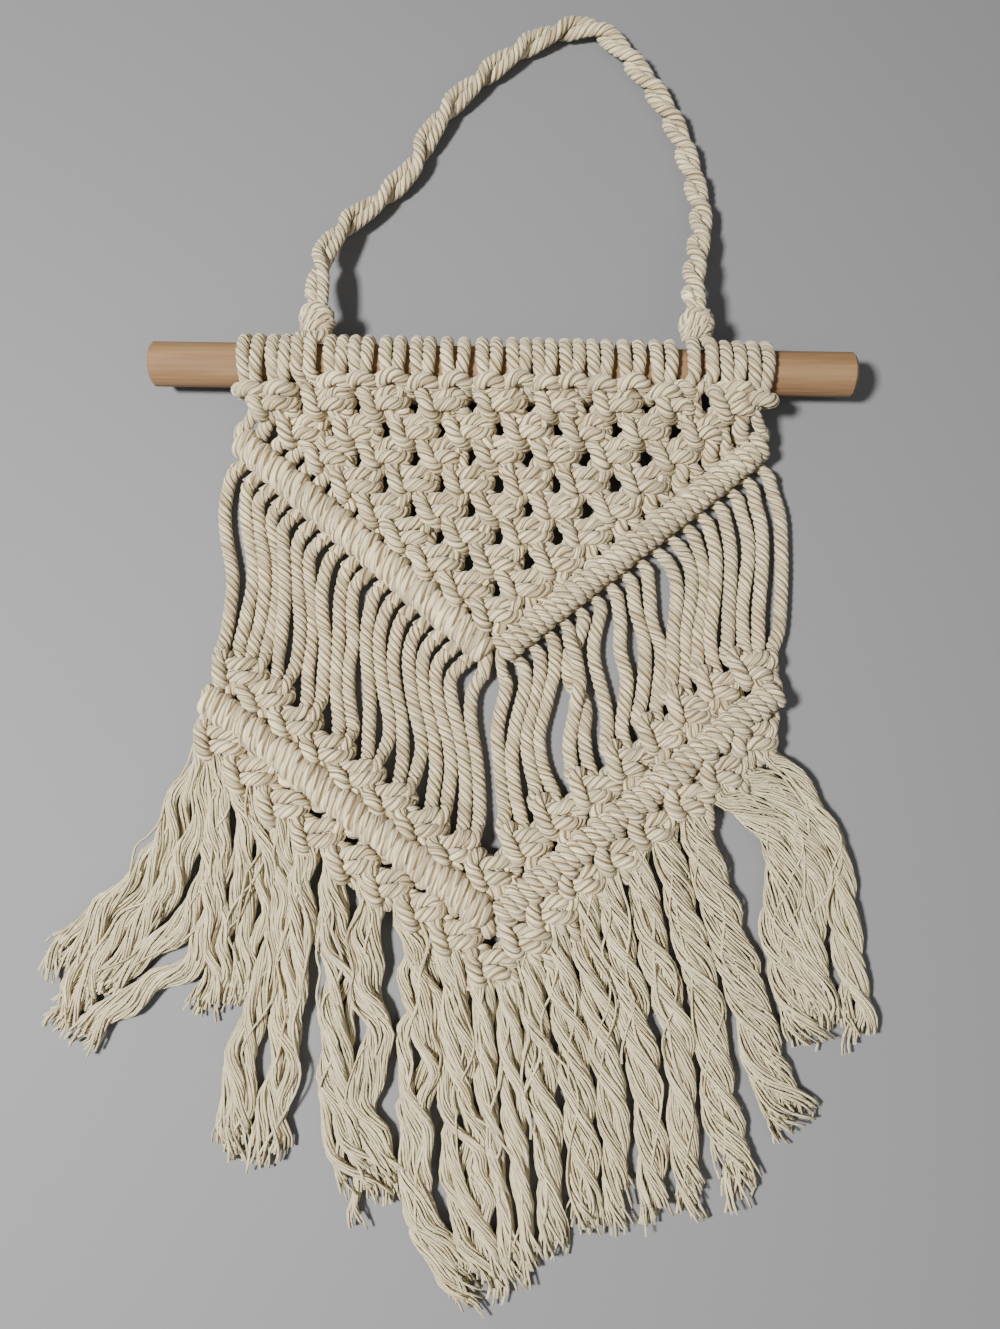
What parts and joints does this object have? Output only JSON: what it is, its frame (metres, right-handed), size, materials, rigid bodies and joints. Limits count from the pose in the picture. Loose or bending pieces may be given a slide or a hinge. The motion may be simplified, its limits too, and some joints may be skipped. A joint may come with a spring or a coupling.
{
  "type": "macrame wall hanging on a wooden rod",
  "caption": "Cotton macrame wall hanging: a triangular net of square knots, V-shaped ridges, free cords and an unravelled fringe, hitched to a wooden rod with a twisted cord hanger.",
  "frame": {"origin": "on the surface that the hanging lies on, at the middle of its outline without the hanger", "axes": "+Y from the fringe up to the hanger, +X to the right as seen from the front, +Z out of the front"},
  "size_m": [0.2669, 0.4455, 0.0242],
  "materials": {
    "cord": "matte four-ply cotton cord",
    "fringe": "matte unravelled cotton yarn",
    "beech": "bare sanded"
  },
  "bodies": {
    "root": {"band_above": "cord", "band_below": "cord", "curtain": "cord", "fringe": "fringe", "hanger_knot_left": "cord", "hanger_knot_right": "cord", "hanger_rope": "cord", "hanger_tail_left_1": "cord", "hanger_tail_left_2": "cord", "hanger_tail_right_1": "cord", "hanger_tail_right_2": "cord", "larks_head_01": "cord", "larks_head_02": "cord", "larks_head_04": "cord", "larks_head_05": "cord", "larks_head_06": "cord", "larks_head_07": "cord", "larks_head_08": "cord", "larks_head_09": "cord", "larks_head_10": "cord", "larks_head_11": "cord", "larks_head_12": "cord", "larks_head_13": "cord", "larks_head_14": "cord", "larks_head_15": "cord", "larks_head_17": "cord", "larks_head_18": "cord", "net": "cord", "ridge_lower": "cord", "ridge_upper": "cord", "rod": "beech"}
  },
  "joints": []
}
